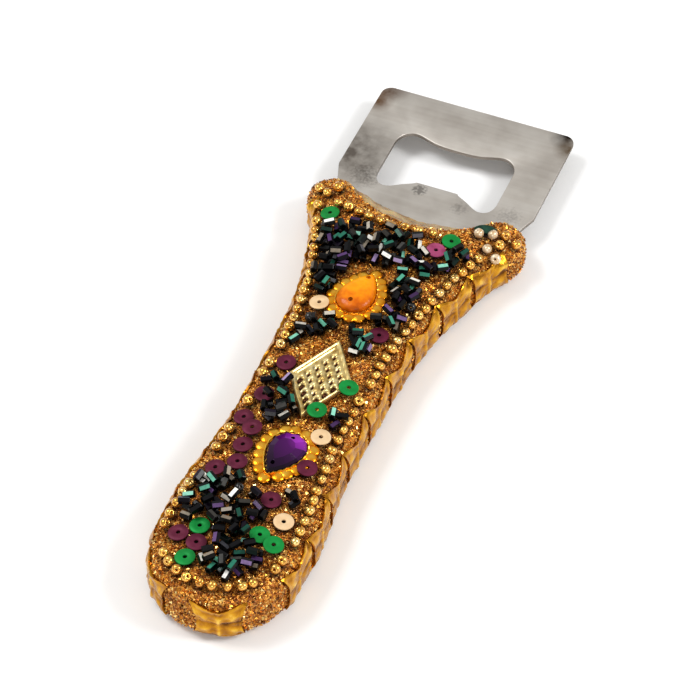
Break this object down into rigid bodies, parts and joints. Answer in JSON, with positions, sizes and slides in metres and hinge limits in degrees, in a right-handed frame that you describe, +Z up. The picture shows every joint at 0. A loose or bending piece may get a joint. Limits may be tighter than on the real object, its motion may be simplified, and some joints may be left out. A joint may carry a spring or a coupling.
{
  "type": "bottle opener",
  "caption": "Flat steel crown-cap opener in a waisted handle of glitter lac with beads, sequins, glass drops and stamped foil trim.",
  "frame": {"origin": "on the resting face, under the middle of the opener's length and width", "axes": "+Y from the butt of the handle towards the steel head, +X across, +Z up out of the dressed face"},
  "size_m": [0.0486, 0.15, 0.0145],
  "materials": {
    "steel": "brushed, heat-tinted at the corners",
    "wood": "sawn, unfinished",
    "cement": "translucent ochre resin",
    "glitter_lac": "clear lac full of copper-gold glitter",
    "gold_glass": "gold-lined seed beads",
    "pearl_glass": "pearl seed beads",
    "green_film": "satin sequin film",
    "plum_film": "satin sequin film",
    "cream_film": "satin sequin film",
    "magenta_film": "satin sequin film",
    "dark_green_film": "satin sequin film",
    "black_glass": "opaque black glass",
    "green_glass": "dark green lined glass",
    "violet_glass": "dark violet lined glass",
    "silver_glass": "smoke glass, silver lined",
    "amber_glass": "foil-backed amber glass",
    "violet_crystal": "foil-backed violet glass",
    "gilt_foil": "stamped gilt foil",
    "champagne_foil": "embossed champagne foil"
  },
  "bodies": {
    "root": {"opener_plate": "steel", "handle_core": "wood", "tang_cement": "cement", "lac_coat": "glitter_lac", "right_rim_beads": "gold_glass", "left_rim_beads": "gold_glass", "throat_rim_beads": "gold_glass", "butt_rim_beads": "gold_glass", "horn_beads": "gold_glass", "pearl_beads": "pearl_glass", "green_sequins": "green_film", "plum_sequins": "plum_film", "cream_sequins": "cream_film", "magenta_sequin": "magenta_film", "marquise_sequin": "dark_green_film", "black_bugle_beads": "black_glass", "green_bugle_beads": "green_glass", "violet_bugle_beads": "violet_glass", "silver_bugle_beads": "silver_glass", "ring_seed_beads": "black_glass", "amber_gem": "amber_glass", "amber_gem_setting": "gilt_foil", "violet_gem": "violet_crystal", "violet_gem_setting": "gilt_foil", "lozenge_plate": "champagne_foil", "right_butterflies": "gilt_foil", "left_butterflies": "gilt_foil", "butt_butterflies": "gilt_foil"}
  },
  "joints": []
}
